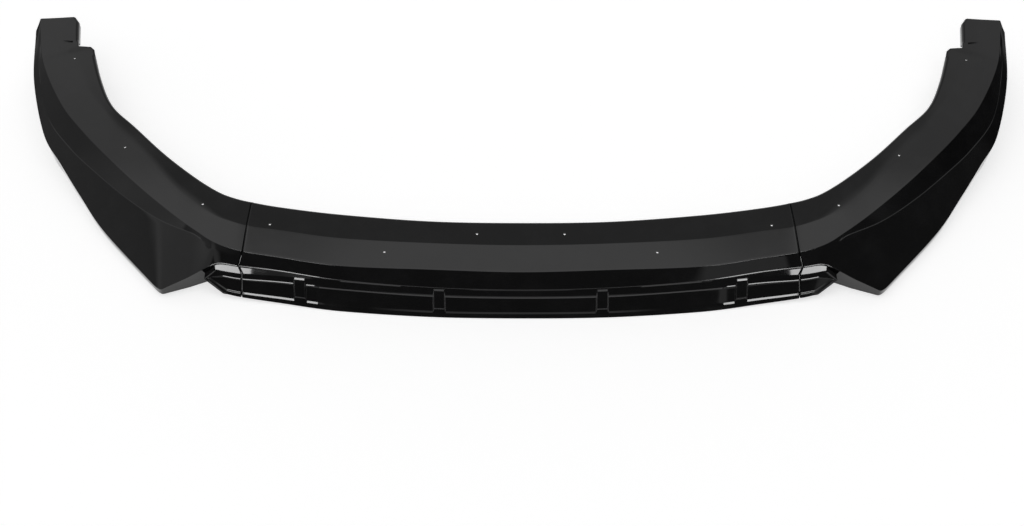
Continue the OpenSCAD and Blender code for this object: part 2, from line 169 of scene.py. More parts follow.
# Stations run along the right half, as in the plan: 0 is the middle, 4 the seam, 5 the blade's end, 7 the
# front corner, 12 the step before the tip tab and 13 the wing's end. Points are millimetres from the middle
# and from the blade's front edge.
SEAM = 4
BLADE_END = 5
STATION_RUN = 58
INNER_LINE = ((0, 147), (150, 150), (300, 163.5), (400, 178), (455, 189.5), (487, 199), (515, 212), (556, 241),
              (613, 289), (672, 348), (718, 394), (746, 451), (770, 523))
CREASE_LINE = ((0, 99), (150, 103), (300, 113), (400, 129), (458.6, 139), (497, 154), (530, 174), (573, 209),
               (626, 266), (681, 328), (729, 380), (772, 434), (817, 516), (838, 601))
RIDGE_LINE = ((0, 49), (150, 54), (300, 61), (400, 78), (462, 90), (508, 107), (548, 135), (592, 171),
              (652, 224), (708, 279), (762, 337), (812, 402), (860, 501), (881, 602))
FRONT_EDGE = ((0, 30.5), (150, 34.5), (300, 47.5), (400, 65), (470, 75), (510, 79), (556, 61), (604, 46))
BLADE_TOP = ((0, 29), (150, 33), (300, 45.5), (400.3, 57.5), (463.9, 62.8), (508, 70))
BLADE_FOOT = ((0, 0), (150, 2.5), (300, 13.5), (400, 27.5), (466, 36.5), (496, 43))
FLANGE_LIFT = (0, 0, 0, 0, 0, 0, 0.05, 0.12, 0.3, 0.45, 0.65, 0.8, 0.93, 1)
RIDGE_LIFT = (0, 0, 0, 0, 0, 0, 0, 0.07, 0.27, 0.5, 0.7, 0.92, 1.07, 1.14)
FRONT_EDGE_RISE = (0, 1, 3.5, 4.5, 4.5, 4, -11)
BLADE_TOP_RISE = (0, 0, 1.5, 0.5, -1, 1)
BLADE_FOOT_RISE = (0, 0, 0, 3, 7, 9)
CREASE_FADE = 5
CREASE_LOSS = 0.6
# The lip below the front face is at its least in the middle and grows between these stations. The channel
# is shallow in the middle and takes its full depth just before the outer rib, from a station over a run.
LIP_LEAST = 0.3
LIP_RUN = (1.2, 2.8)
CHANNEL_FADE = (2.25, 0.12)
# Points of the channel and of a rib: share of the way down the blade's face, then how far out they stand.
CHANNEL = ((0.21, 0), (0.24, 0.4), (0.29, -1), (0.77, -1), (0.83, 0))
RIB = ((0.02, 0), (0.07, 1), (0.3, 1), (0.66, 1), (0.69, 0))
FACE_POINTS = len(CHANNEL)
# Radius at each corner of the section, from the rim's foot to the blade's return.
CENTRE_RADII = (0, 5, 12, 0.6, 0.5, 0.4, 0.4, 1.2, 0.4, 0.4, 0.8, 1.2, 1.2, 0.8, 0)


def mix(a, b, share):
    return a + (b - a) * share


def smooth(value):
    share = min(1.0, max(0.0, value))
    return share * share * (3 - 2 * share)


def unit(vector):
    return vector / np.linalg.norm(vector)


def along(line, t):
    """Value of a line at a station, on a smooth curve through all its points."""
    line = np.asarray(line, float)
    i = min(len(line) - 2, max(0, math.floor(t)))
    f = t - i
    a = line[i - 1] if i > 0 else 2 * line[0] - line[1]
    b = line[i]
    c = line[i + 1]
    d = line[i + 2] if i + 2 < len(line) else 2 * line[-1] - line[-2]
    square = 2 * a - 5 * b + 4 * c - d
    cube = 3 * b - a - 3 * c + d
    return 0.5 * (2 * b + (c - a) * f + square * f ** 2 + cube * f ** 3)


def along_even(line, t):
    """The same for a plan line that crosses the middle, where it is even."""
    return along(((-line[1][0], line[1][1]),) + tuple(line), t + 1)


def steady(line, t):
    """The same for heights, level across the middle."""
    return along((line[1],) + tuple(line), t + 1)


def placed(p, z):
    return np.array([p[0], p[1] - PLAN_DEPTH / 2, z]) * MM


def flange_z(t):
    return RIDGE_HEIGHT + FLANGE_RISE + TIP_RISE * steady(FLANGE_LIFT, t)


def ridge_z(t):
    return RIDGE_HEIGHT + TIP_RISE * steady(RIDGE_LIFT, t)


def inner_point(t):
    return placed(along_even(INNER_LINE, t), flange_z(t))


def ridge_point(t):
    return placed(along_even(RIDGE_LINE, t), ridge_z(t))


def crease_point(t, rear=None):
    """The crease is full across the middle and fades along the wing."""
    p = placed(along_even(CREASE_LINE, t), flange_z(t))
    a = inner_point(t) if rear is None else rear
    c = ridge_point(t)
    share = np.linalg.norm((p - a)[:2]) / np.linalg.norm((c - a)[:2])
    p[2] = mix(p[2], mix(a[2], c[2], share), CREASE_LOSS * smooth((t - BLADE_END) / CREASE_FADE))
    return p


def centre_edge(t):
    return placed(along_even(FRONT_EDGE, t), BLADE_HEIGHT + steady(FRONT_EDGE_RISE, t))


def blade_top(t):
    return placed(along_even(BLADE_TOP, t), BLADE_HEIGHT + steady(BLADE_TOP_RISE, t))


def blade_foot(t):
    return placed(along_even(BLADE_FOOT, t), max(0, steady(BLADE_FOOT_RISE, t)))


def rib_share(x):
    """1 on a rib, 0 beside it, and rounded in between."""
    reach = (RIB_WIDTH / 2 + RIB_RAMP / 2) * MM
    return max(smooth((reach - abs(abs(x) - c * MM)) / (RIB_RAMP * MM)) for c in RIB_PLACES)


def blade_face(t, k):
    """A point of the channel or of a rib, down the blade's face."""
    top = blade_top(t)
    foot = blade_foot(t)
    out = unit(np.array([0, (foot - top)[2], -(foot - top)[1]]))
    rib = rib_share(top[0])
    share = mix(CHANNEL[k][0], RIB[k][0], rib)
    deep = CHANNEL_DEPTH * mix(CHANNEL_SHALLOW, 1, smooth((t - CHANNEL_FADE[0]) / CHANNEL_FADE[1]))
    depth = mix(CHANNEL[k][1] * deep, RIB[k][1] * RIB_PROUD, rib) * MM
    return mix(top, foot, share) + out * depth


def edge_lip(edge, share):
    """The narrow lip along the front face's lower edge, and the foot of the drop below it."""
    lip = edge + np.array([0, -LIP_WIDTH, -LIP_FALL]) * MM * share
    return lip, lip + np.array([0, LIP_LEAN, -LIP_DROP]) * MM * share


def centre_section(t):
    """Corners of the centre moulding's outer surface at a station, from the rim's foot to the blade's."""
    edge = centre_edge(t)
    top = blade_top(t)
    lip = edge_lip(edge, mix(LIP_LEAST, 1, smooth((t - LIP_RUN[0]) / (LIP_RUN[1] - LIP_RUN[0]))))
    return np.array([
        inner_point(t) - np.array([0, 0, RIM_DEPTH]) * MM,
        inner_point(t),
        crease_point(t),
        ridge_point(t),
        edge,
        *lip,
        top - np.array([0, 0, EDGE_DROP]) * MM,
        *(blade_face(t, k) for k in range(FACE_POINTS)),
        blade_foot(t),
        blade_foot(t) + np.array([0, FOOT_RETURN, 0]) * MM,
    ])


# A fillet takes at most this share of each face beside it, and at least this length.
FILLET_STEPS = 6
FILLET_SHARE = 0.42
FILLET_LEAST = 0.1
LEAST_HALF_ANGLE = 0.02


def fillet(before, corner, after, radius):
    """Points of a round arc between the two faces that meet at a corner."""
    u = unit(before - corner)
    v = unit(after - corner)
    half = math.acos(max(-1.0, min(1.0, float(u @ v)))) / 2
    reach = min(radius * MM / math.tan(max(half, LEAST_HALF_ANGLE)),
                FILLET_SHARE * np.linalg.norm(before - corner), FILLET_SHARE * np.linalg.norm(after - corner))
    reach = max(reach, FILLET_LEAST * MM)
    start = corner + u * reach
    end = corner + v * reach
    weight = math.sin(half)
    points = []
    for k in range(FILLET_STEPS + 1):
        q = k / FILLET_STEPS
        a, b, c = (1 - q) ** 2, 2 * q * (1 - q) * weight, q ** 2
        points.append((a * start + b * corner + c * end) / (a + b + c))
    return points


# Share of a face's width that lies between a fillet and the point that keeps the face flat beside it.
GUARD = 0.08


def filleted(corners, radii):
    """Outer points of a section and the corner that each belongs to, with a point beside each fillet."""
    arcs = []
    for j, radius in enumerate(radii):
        arcs.append(fillet(corners[j - 1], corners[j], corners[j + 1], radius) if radius else [corners[j]])
    points = []
    owner = []
    for j, arc in enumerate(arcs):
        points += arc
        owner += [j] * len(arc)
        if j + 1 < len(arcs):
            start, end = arc[-1], arcs[j + 1][0]
            points += [mix(start, end, GUARD), mix(start, end, 1 - GUARD)]
            owner += [j, j + 1]
    return points, owner


def face_normal(sections, i, j, guide):
    """Outward normal of one face of the sheet. Corners before the guide run as the guide does."""
    run = sections[min(i + 1, len(sections) - 1)][max(j, guide)] - sections[max(i - 1, 0)][max(j, guide)]
    across = sections[i][j + 1] - sections[i][j]
    return unit(np.cross(across, run))


def inner_corner(sections, i, j, wall, guide):
    """A corner moved in by the wall's thickness from both faces that meet there."""
    last = len(sections[i]) - 1
    m = face_normal(sections, i, max(0, j - 1), guide)
    n = face_normal(sections, i, min(last - 1, j), guide)
    return sections[i][j] - wall * MM * (m + n) / (1 + m @ n)


def moulded_shell(name, sections, radii, walls, guide=0, sinks=None):
    """A closed sheet of the given thickness through a row of sections, with its outer corners rounded.

    A section's outer corners are moved in by its sink, which rounds the moulding's end.
    """
    owner = filleted(sections[0], radii[0])[1]
    m = len(owner)
    k = len(radii[0])
    n = len(sections)
    points = []
    for i, section in enumerate(sections):
        if sinks and sinks[i]:
            sink = math.copysign(sinks[i], walls[i])
            section = np.array([inner_corner(sections, i, j, sink, guide) for j in range(k)])
        points += filleted(section, radii[i])[0]
        points += [inner_corner(sections, i, j, walls[i], guide) for j in range(k)]

    def o(i, j):
        return i * (m + k) + j

    def w(i, j):
        return i * (m + k) + m + j

    faces = []
    for i in range(n - 1):
        faces += [(o(i, j), o(i + 1, j), o(i + 1, j + 1), o(i, j + 1)) for j in range(m - 1)]
        faces += [(w(i, j), w(i, j + 1), w(i + 1, j + 1), w(i + 1, j)) for j in range(k - 1)]
        faces.append((o(i, 0), w(i, 0), w(i + 1, 0), o(i + 1, 0)))
        faces.append((o(i, m - 1), o(i + 1, m - 1), w(i + 1, k - 1), w(i, k - 1)))
    for j in range(m - 1):
        start = [o(0, j), o(0, j + 1), w(0, owner[j + 1]), w(0, owner[j])]
        end = [o(n - 1, j + 1), o(n - 1, j), w(n - 1, owner[j]), w(n - 1, owner[j + 1])]
        for cap in (start, end):
            faces.append(tuple(dict.fromkeys(cap)))
    mesh = bpy.data.meshes.new(name)
    mesh.from_pydata([tuple(p) for p in points], [], faces)
    # The rounded rows at the moulding's seam ends get the mark for the painted seam shade.
    painted_seam_shade = mesh.attributes.new("painted_seam_shade", "FLOAT", "POINT")
    for i in range(n):
        if sinks and sinks[i]:
            for index in range(i * (m + k), (i + 1) * (m + k)):
                painted_seam_shade.data[index].value = 1
    piece = bpy.data.objects.new(name, mesh)
    bpy.context.scene.collection.objects.link(piece)
    form = bmesh.new()
    form.from_mesh(mesh)
    bmesh.ops.recalc_face_normals(form, faces=form.faces)
    form.to_mesh(mesh)
    form.free()
    return piece


def cut(piece, tools, operation):
    """Joins other solids to a piece or takes them away from it."""
    for tool in tools:
        step = piece.modifiers.new("step", "BOOLEAN")
        step.operation = operation
        step.object = tool
        step.solver = "EXACT"
        shape = bpy.data.meshes.new_from_object(piece.evaluated_get(bpy.context.evaluated_depsgraph_get()))
        piece.modifiers.clear()
        piece.data = shape
    for tool in tools:
        bpy.data.objects.remove(tool)


def weld(piece, part):
    """Adds a closed part that sits in the piece's own material."""
    form = bmesh.new()
    form.from_mesh(piece.data)
    form.from_mesh(part.data)
    form.to_mesh(piece.data)
    form.free()
    bpy.data.objects.remove(part)


# The drill's middle is lifted above the ridge's height, so that it passes through the flange all along the lip.
DRILL_SIDES = 48
DRILL_LENGTH = 60
DRILL_LIFT = 10


def drill(name, x, y, diameter):
    """A round cutter through the flange at a plan point."""
    middle = Vector(placed((x, y), RIDGE_HEIGHT + DRILL_LIFT))
    form = bmesh.new()
    bmesh.ops.create_cone(form, cap_ends=True, segments=DRILL_SIDES, radius1=diameter / 2 * MM,
                          radius2=diameter / 2 * MM, depth=DRILL_LENGTH * MM,
                          matrix=Matrix.Translation(middle))
    mesh = bpy.data.meshes.new(name)
    form.to_mesh(mesh)
    form.free()
    tool = bpy.data.objects.new(name, mesh)
    bpy.context.scene.collection.objects.link(tool)
    return tool


SMOOTH_ANGLE = math.radians(32)


def dress(piece, node, material):
    """Gives a piece its material and puts it in the place of the node that it shows."""
    piece.data.materials.clear()
    piece.data.materials.append(material)
    piece.data.shade_smooth()
    piece.data.set_sharp_from_angle(angle=SMOOTH_ANGLE)
    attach(piece, "root")
    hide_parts(node)


def mirrored(section):
    return section * np.array([-1, 1, 1])


def station_at(x, low=0.0, high=float(SEAM)):
    """Station at which the blade's top edge is at a distance from the middle."""
    for _ in range(30):
        t = (low + high) / 2
        low, high = (t, high) if blade_top(t)[0] < x * MM else (low, t)
    return low


CENTRE_ROWS = 97
RAMP_ROWS = 13
RAMP_REACH = 0.6
LEAST_ROW_STEP = 0.0005


def centre_stations():
    """Even stations, with more of them at the slopes of the ribs."""
    stations = set(np.linspace(0, SEAM, CENTRE_ROWS))
    for c in RIB_PLACES:
        for side in (-1, 1):
            for q in np.linspace(-RAMP_REACH, RAMP_REACH, RAMP_ROWS):
                stations.add(station_at(c + side * (RIB_WIDTH / 2 + q * RIB_RAMP)))
    stations = sorted(stations)
    return [t for i, t in enumerate(stations) if i == 0 or t - stations[i - 1] > LEAST_ROW_STEP]


SEAM_TURNS = (0, 15, 30, 45, 60, 75, 90)
SEAM_ROOM = 0.01


def seam_steps():
    """Distances from the seam's middle, in stations, and how far the surface is rounded off there."""
    turns = [math.radians(a) for a in SEAM_TURNS]
    return [((SEAM_GAP / 2 + SEAM_ROUND * (1 - math.sin(a))) / STATION_RUN, SEAM_ROUND * (1 - math.cos(a)))
            for a in turns]


def seam_end(stations, side):
    """Stations of a moulding beside the seam, from its plain surface to its rounded end, with their sinks."""
    steps = seam_steps()
    room = steps[0][0] + SEAM_ROOM
    row = [(t, 0) for t in stations if (t - SEAM) * side > room]
    ends = [(SEAM + side * distance, sink) for distance, sink in steps]
    return sorted(row + ends)


# Under the flange each seam has an end wall on both mouldings, in one upright plane, with two screw holes.
END_WALL = 3
REAR_DEPTH = 20
FRONT_DEPTH = 28
NOSE = (4, 8)
DEEP_SHARE = 0.7
SCREW_HOLE = 4.3
HOLE_SIDES = 32
HOLE_OVERRUN = 1
# Places of the screws: share of the way from the rear edge to the ridge, and depth below the skin.
REAR_SCREW_AT = (0.3, 12)
FRONT_SCREW_AT = (0.85, 17)
seam_rear = inner_point(SEAM) / MM
seam_front = ridge_point(SEAM) / MM
seam_across = unit((seam_front - seam_rear)[:2])
seam_run = float(np.linalg.norm((seam_front - seam_rear)[:2]))
crease_run = float(np.linalg.norm((crease_point(SEAM) / MM - seam_rear)[:2]))
flange_under = seam_rear[2] - WALL / 2
ridge_under = seam_front[2] - WALL / 2
REAR_SCREW = (seam_run * REAR_SCREW_AT[0], flange_under - REAR_SCREW_AT[1])
FRONT_SCREW = (seam_run * FRONT_SCREW_AT[0], ridge_under - FRONT_SCREW_AT[1])


def in_seam_plane(run, z, out, side):
    """Point at a run along the seam's plane, a height, and a distance out of the plane towards the middle."""
    x = seam_rear[0] + seam_across[0] * run + seam_across[1] * out
    y = seam_rear[1] + seam_across[1] * run - seam_across[0] * out
    return np.array([x * side, y, z]) * MM


def prism(name, outline, low, high, side):
    """A solid between two distances out of the seam's plane."""
    count = len(outline)
    points = [in_seam_plane(*p, away, side) for away in (low, high) for p in outline]
    faces = [tuple(range(count)), tuple(range(2 * count - 1, count - 1, -1))]
    faces += [(i, (i + 1) % count, (i + 1) % count + count, i + count) for i in range(count)]
    mesh = bpy.data.meshes.new(name)
    mesh.from_pydata([tuple(p) for p in points], [], faces)
    form = bmesh.new()
    form.from_mesh(mesh)
    bmesh.ops.recalc_face_normals(form, faces=form.faces)
    form.to_mesh(mesh)
    form.free()
    solid = bpy.data.objects.new(name, mesh)
    bpy.context.scene.collection.objects.link(solid)
    return solid


def end_wall(side, low, high):
    """The wall that closes a moulding under its flange, between two distances from the seam's plane."""
    return prism("end_wall", (
        (WALL / 2, flange_under), (crease_run, flange_under), (seam_run - NOSE[0], ridge_under),
        (seam_run, ridge_under - NOSE[1]), (seam_run, ridge_under - FRONT_DEPTH),
        (seam_run * DEEP_SHARE, ridge_under - FRONT_DEPTH), (WALL / 2, flange_under - REAR_DEPTH),
    ), low, high, side)


def screw_holes(side):
    """Cutters for the two screw holes through the end walls at a seam."""
    rounds = [math.tau * k / HOLE_SIDES for k in range(HOLE_SIDES)]
    return [prism("screw_hole", [(run + SCREW_HOLE / 2 * math.cos(a), z + SCREW_HOLE / 2 * math.sin(a))
                                 for a in rounds], -END_WALL - HOLE_OVERRUN, END_WALL + HOLE_OVERRUN, side)
            for run, z in (REAR_SCREW, FRONT_SCREW)]


right_half = [(centre_section(t), sink) for t, sink in seam_end(centre_stations(), -1)]
centre_rows = [(mirrored(s), sink) for s, sink in right_half[:0:-1]] + right_half
FIXING_HOLE = 4.2
CENTRE_HOLES = ((-420, 141), (-226, 87), (-73, 122), (73, 122), (226, 87), (420, 141))
# The ridge's place among the corners of a section.
RIDGE = 3
centre = moulded_shell("centre_moulding", [s for s, _ in centre_rows], [CENTRE_RADII] * len(centre_rows),
                       [WALL] * len(centre_rows), RIDGE, [sink for _, sink in centre_rows])
cut(centre, [end_wall(side, 0, END_WALL) for side in (-1, 1)], "UNION")
cut(centre, [drill("drill", x, y, FIXING_HOLE) for x, y in CENTRE_HOLES] + screw_holes(-1) + screw_holes(1),
    "DIFFERENCE")
dress(centre, "centre_section", gloss_black)


# Wings
# Each end of the lip is its own moulding, left and right handed. The flange sweeps back and up to a stepped
# tip tab, the fin falls away outside the ridge to a skirt, and the blade ends in a point.
FIN_START = 6
CORNER = 7
STEP = 12
TIP = 13
FIN_CREASE_LINE = ((550, 131), (609, 160), (670.5, 206), (728, 257), (784, 313), (835, 384), (863.8, 481.4),
                   (882, 587))
FIN_CREASE_HEIGHT = (61, 59.5, 58.5, 60, 62, 64, 75, 82)
FIN_CREASE_SHARE = 0.3
SIDE_EDGE = ((604, 46), (710.5, 163), (762, 234.7), (804.2, 296.8), (840.4, 354.4), (871.8, 462.1),
             (883.9, 571.5))
SIDE_EDGE_RISE = (0, 3, 11, 25, 35, 54, 67)
# The rear edge beside and past the step, as its station, its distance from the middle and from the front.
TAB_EDGE = ((11.93, 769, 522), (12, 776, 529), (12.03, 799, 531), (12.88, 807, 590), (13, 815, 602))
# The step along the fin's crease grows over a run of stations and fades again before the tip.
FIN_STEP = 1.4
FIN_STEP_FALL = 0.05
FIN_STEP_GROWS = (5.4, 0.8)
FIN_STEP_FADES = (12.6, 1.2)
LIP_END = 5.3
LIP_END_RUN = 0.25
# The channel closes in to its apex, and the blade to its point. Both are given as distance from the middle,
# from the front and above the ground, for each point of the blade's face.
CHANNEL_END = 4.75
CHANNEL_APEX = 4.93
CHANNEL_POINT = ((521.6, 63.4, 29.6), (521, 62.6, 29), (519.5, 64.6, 28.4), (519.5, 64.4, 27.8),
                 (521, 62.6, 27.2))
BLADE_POINT = ((528, 61, 27.9), (528, 61, 27.5), (528, 61, 27.1), (528, 61, 26.7), (528, 61, 26.3))
POINT_STATIONS = (4.79, 4.83, 4.87, 4.91, 4.93, 4.95, 4.975, 5)
BLADE_ROWS = 25
THIN_RUN = 0.15
WEB_LAP = (-6, 0, 0.6)
WEB_WALL = 2.2
RIM_LIP = 0.3
RIM_NOTCH = 0.2
CORNER_HEIGHT = 15
CORNER_ROUND = 0.12
SKIRT_DRAFT = 0.06
SKIRT_START = (4.35, 4.55)
SHORT_SKIRT = 8
LEAN_CENTRE = (500, 401)
GROOVE_LENGTH = 42
GROOVE_WIDTH = 4
GROOVE_DEPTH = 1.6
GROOVE_PLACE = (811, 541)
GROOVE_STATION = 12.4
GROOVE_TURN = math.radians(7)
GROOVE_TOOL_HEIGHT = 20


def tab_edge(t):
    """Plan point of the rear edge beside the step and the tip tab."""
    k = max(n for n in range(len(TAB_EDGE) - 1) if t >= TAB_EDGE[n][0])
    p, q = TAB_EDGE[k], TAB_EDGE[k + 1]
    f = (t - p[0]) / (q[0] - p[0])
    return mix(p[1], q[1], f), mix(p[2], q[2], f)


def wing_inner(t):
    return placed(tab_edge(t), flange_z(t)) if t >= TAB_EDGE[0][0] else inner_point(t)


def between(line, t):
    """Value of a line at a station, straight between its points."""
    line = np.asarray(line, float)
    i = min(len(line) - 2, math.floor(t))
    return mix(line[i], line[i + 1], t - i)


def front_edge(t):
    """Edge below the front face, which falls away to the front corner past the blade's end."""
    plan = along_even(FRONT_EDGE, t) if t <= BLADE_END else between(FRONT_EDGE, t)
    if t <= FIN_START:
        return placed(plan, BLADE_HEIGHT + steady(FRONT_EDGE_RISE, t))
    return placed(plan, mix(BLADE_HEIGHT + FRONT_EDGE_RISE[FIN_START], CORNER_HEIGHT, t - FIN_START))


def side_edge(t):
    return placed(along(SIDE_EDGE, t - CORNER), CORNER_HEIGHT + along(SIDE_EDGE_RISE, t - CORNER))


def sharp_edge(t):
    return front_edge(t) if t < CORNER else side_edge(t)


def lower_edge(t):
    """Lower edge of the front face and of the fin, with its corner rounded off."""
    s = (t - CORNER) / CORNER_ROUND / 2 + 0.5
    if s <= 0 or s >= 1:
        return sharp_edge(t)
    corner = sharp_edge(CORNER)
    before = sharp_edge(CORNER - CORNER_ROUND)
    after = sharp_edge(CORNER + CORNER_ROUND)
    return mix(mix(before, corner, s), mix(corner, after, s), s)


def fin_crease(t):
    """The fin's crease leaves the front face past the blade's end and runs back along the fin to the tip."""
    plain = mix(ridge_point(t), lower_edge(t), FIN_CREASE_SHARE)
    if t <= BLADE_END:
        return plain
    own = placed(along(FIN_CREASE_LINE, t - FIN_START), along(FIN_CREASE_HEIGHT, t - FIN_START))
    return mix(plain, own, smooth(t - BLADE_END) if t < FIN_START else 1)


def fin_step(t):
    """Foot of the narrow step along the fin's crease. Where the step is gone it lies in the fin's face."""
    crease = fin_crease(t)
    away = unit(lower_edge(t) - crease)
    flat = unit(away[:2])
    grown = smooth((t - FIN_STEP_GROWS[0]) / FIN_STEP_GROWS[1])
    share = grown * smooth((FIN_STEP_FADES[0] - t) / FIN_STEP_FADES[1])
    return crease + mix(away, np.array([flat[0], flat[1], -FIN_STEP_FALL]), share) * FIN_STEP * MM


def skirt_foot(t):
    """Foot of the skirt, which is short at the seam, grows to the ground and leans in a little."""
    edge = lower_edge(t)
    full = smooth((t - SKIRT_START[0]) / (SKIRT_START[1] - SKIRT_START[0]))
    z = mix(edge[2] - SHORT_SKIRT * MM, 0, full)
    back = unit(placed(LEAN_CENTRE, 0)[:2] - edge[:2]) * (edge[2] - z) * SKIRT_DRAFT
    return np.array([edge[0] + back[0], edge[1] + back[1], z])


def rim(t):
    """Depth of the rim, which is cut back beside the step."""
    return WALL + RIM_LIP if STEP - RIM_NOTCH < t < STEP + RIM_NOTCH else RIM_DEPTH


def wing_section(t):
    """Corners of the wing's outer surface at a station, from the rim's foot to the skirt's."""
    lip_share = mix(LIP_LEAST, 1, smooth((LIP_END - t) / LIP_END_RUN))
    return np.array([
        wing_inner(t) - np.array([0, 0, rim(t)]) * MM,
        wing_inner(t),
        crease_point(t, wing_inner(t)),
        ridge_point(t),
        fin_crease(t),
        fin_step(t),
        lower_edge(t),
        edge_lip(lower_edge(t), lip_share)[0],
        skirt_foot(t),
    ])


def blade_mid(t, k):
    """A point down the blade's face on the wing, where the channel and the blade run out to their points."""
    if t <= CHANNEL_END:
        return blade_face(t, k)
    apex = placed(CHANNEL_POINT[k][:2], CHANNEL_POINT[k][2])
    if t <= CHANNEL_APEX:
        return mix(blade_face(CHANNEL_END, k), apex, (t - CHANNEL_END) / (CHANNEL_APEX - CHANNEL_END))
    point = placed(BLADE_POINT[k][:2], BLADE_POINT[k][2])
    return mix(apex, point, (t - CHANNEL_APEX) / (BLADE_END - CHANNEL_APEX))


def blade_section(t):
    """Corners of the wing's blade at a station, from the front face's edge to the blade's return."""
    foot = blade_foot(t)
    return np.array([
        lower_edge(min(t, BLADE_END)) + np.array([0, WALL / 2, -LIP_FALL - LIP_DROP]) * MM,
        blade_top(t) - np.array([0, 0, EDGE_DROP]) * MM,
        *(blade_mid(t, k) for k in range(FACE_POINTS)),
        foot,
        foot + np.array([0, FOOT_RETURN, 0]) * MM,
    ])


def skirt_y(x):
    """Distance from the front of the skirt's wall at a distance from the middle."""
    low, high = float(SEAM), float(FIN_START)
    for _ in range(24):
        t = (low + high) / 2
        low, high = (t, high) if lower_edge(t)[0] < x else (low, t)
    return lower_edge(low)[1] + WALL / 2 * MM


def blade_end_web(name, side):
    """Closes the blade's pointed end back to the skirt."""
    c = blade_section(BLADE_END)
    outline = [c[1], c[4], c[7], c[7] + np.array(WEB_LAP) * MM]
    front = np.array([p + np.array([0, WEB_WALL / 2, 0]) * MM for p in outline])
    back = np.array([(p[0], skirt_y(p[0]), p[2]) for p in outline])
    rows = [front, back]
    if side < 0:
        rows = [mirrored(r) for r in rows]
    return moulded_shell(name, rows, [[0] * len(outline)] * 2, [WEB_WALL * side] * 2)


# Numbers of sections along the front, round the corner, along the side, and along the tip tab and its end.
FRONT_ROWS = 75
CORNER_ROWS = 13
SIDE_ROWS = 110
TAB_ROWS = 18
TIP_ROWS = 4
NOTCH_STATIONS = (11.8, 11.85)


def wing_stations():
    """Stations of the wing, closest at the front corner and beside the step."""
    notch, edge, step, tab, tip = NOTCH_STATIONS[1], *(row[0] for row in TAB_EDGE[:4])
    stations = list(np.linspace(SEAM, CORNER - CORNER_ROUND, FRONT_ROWS))
    stations += list(np.linspace(CORNER - CORNER_ROUND, CORNER + CORNER_ROUND, CORNER_ROWS)[1:])
    stations += list(np.linspace(CORNER + CORNER_ROUND, NOTCH_STATIONS[0], SIDE_ROWS)[1:])
    stations += [notch, edge, step, tab]
    stations += list(np.linspace(tab, tip, TAB_ROWS)[1:])
    stations += list(np.linspace(tip, TIP, TIP_ROWS)[1:])
    return stations


BLADE_RADII = (0, 1.2, 0.4, 0.4, 0.8, 1.2, 1.2, 0.8, 0)
# Radii of the crease and of the ridge, at the seam and further out, and the run between the two.
SEAM_CREASE, SOFT_CREASE = 12, 150
SEAM_RIDGE, SOFT_RIDGE = 0.6, 2
SOFT_RUN = 3


def wing_radii(t):
    """The crease in the flange softens along the wing, and so does the ridge."""
    share = smooth((t - SEAM) / SOFT_RUN)
    return 0, 5, mix(SEAM_CREASE, SOFT_CREASE, share), mix(SEAM_RIDGE, SOFT_RIDGE, share), 0.5, 0.4, 2, 0.4, 0


def blade_wall(t):
    """The blade's wall thins towards its point."""
    return mix(WALL, WALL / 2, smooth((t - CHANNEL_END) / THIN_RUN))


def groove_tool(side):
    """Cutter for the groove between the wing's flange and its tip tab."""
    start = placed(GROOVE_PLACE, flange_z(GROOVE_STATION) - GROOVE_DEPTH)
    form = bmesh.new()
    size = Matrix.Diagonal((GROOVE_LENGTH * MM, GROOVE_WIDTH * MM, GROOVE_TOOL_HEIGHT * MM, 1))
    shift = Matrix.Translation((GROOVE_LENGTH / 2 * MM, 0, GROOVE_TOOL_HEIGHT / 2 * MM))
    turn = Matrix.Rotation(GROOVE_TURN, 4, "Z")
    flip = Matrix.Diagonal((side, 1, 1, 1))
    bmesh.ops.create_cube(form, size=1, matrix=flip @ Matrix.Translation(Vector(start)) @ turn @ shift @ size)
    bmesh.ops.recalc_face_normals(form, faces=form.faces)
    mesh = bpy.data.meshes.new("groove")
    form.to_mesh(mesh)
    form.free()
    tool = bpy.data.objects.new("groove", mesh)
    bpy.context.scene.collection.objects.link(tool)
    return tool


def wing(name, node, side, holes):
    """One wing moulding: the swept body, the blade's end and its web, with the holes and the groove cut."""
    body_at = seam_end(wing_stations(), 1)
    body_rows = [wing_section(t) for t, _ in body_at]
    blade_at = seam_end(list(np.linspace(SEAM, CHANNEL_END, BLADE_ROWS)) + list(POINT_STATIONS), 1)
    blade_rows = [blade_section(t) for t, _ in blade_at]
    if side < 0:
        body_rows = [mirrored(s) for s in body_rows]
        blade_rows = [mirrored(s) for s in blade_rows]
    body = moulded_shell(name, body_rows, [wing_radii(t) for t, _ in body_at],
                         [WALL * side] * len(body_rows), RIDGE, [sink for _, sink in body_at])
    blade = moulded_shell(name + "_blade", blade_rows, [BLADE_RADII] * len(blade_at),
                          [blade_wall(t) * side for t, _ in blade_at], 0, [sink for _, sink in blade_at])
    cut(body, [blade, end_wall(side, -END_WALL, 0)], "UNION")
    cut(body, [drill("drill", x, y, FIXING_HOLE) for x, y in holes] + [groove_tool(side)] + screw_holes(side),
        "DIFFERENCE")
    weld(body, blade_end_web(name + "_web", side))
    dress(body, node, gloss_black)


LEFT_HOLES = ((-537, 183), (-685, 304), (-802, 503))
RIGHT_HOLES = ((537, 183), (653, 289), (802, 503))
wing("left_wing_moulding", "left_wing", -1, LEFT_HOLES)
wing("right_wing_moulding", "right_wing", 1, RIGHT_HOLES)


# Joint screws
# Four short screws with flanged heads hold the mouldings together through their end walls, two at each seam.
# They are steel with bright zinc plating, and are hidden under the flange.
ZINC_DARK = (0.5, 0.51, 0.52, 1)
ZINC_LIGHT = (0.72, 0.72, 0.7, 1)
ZINC_SMOOTH, ZINC_ROUGH = 0.2, 0.42


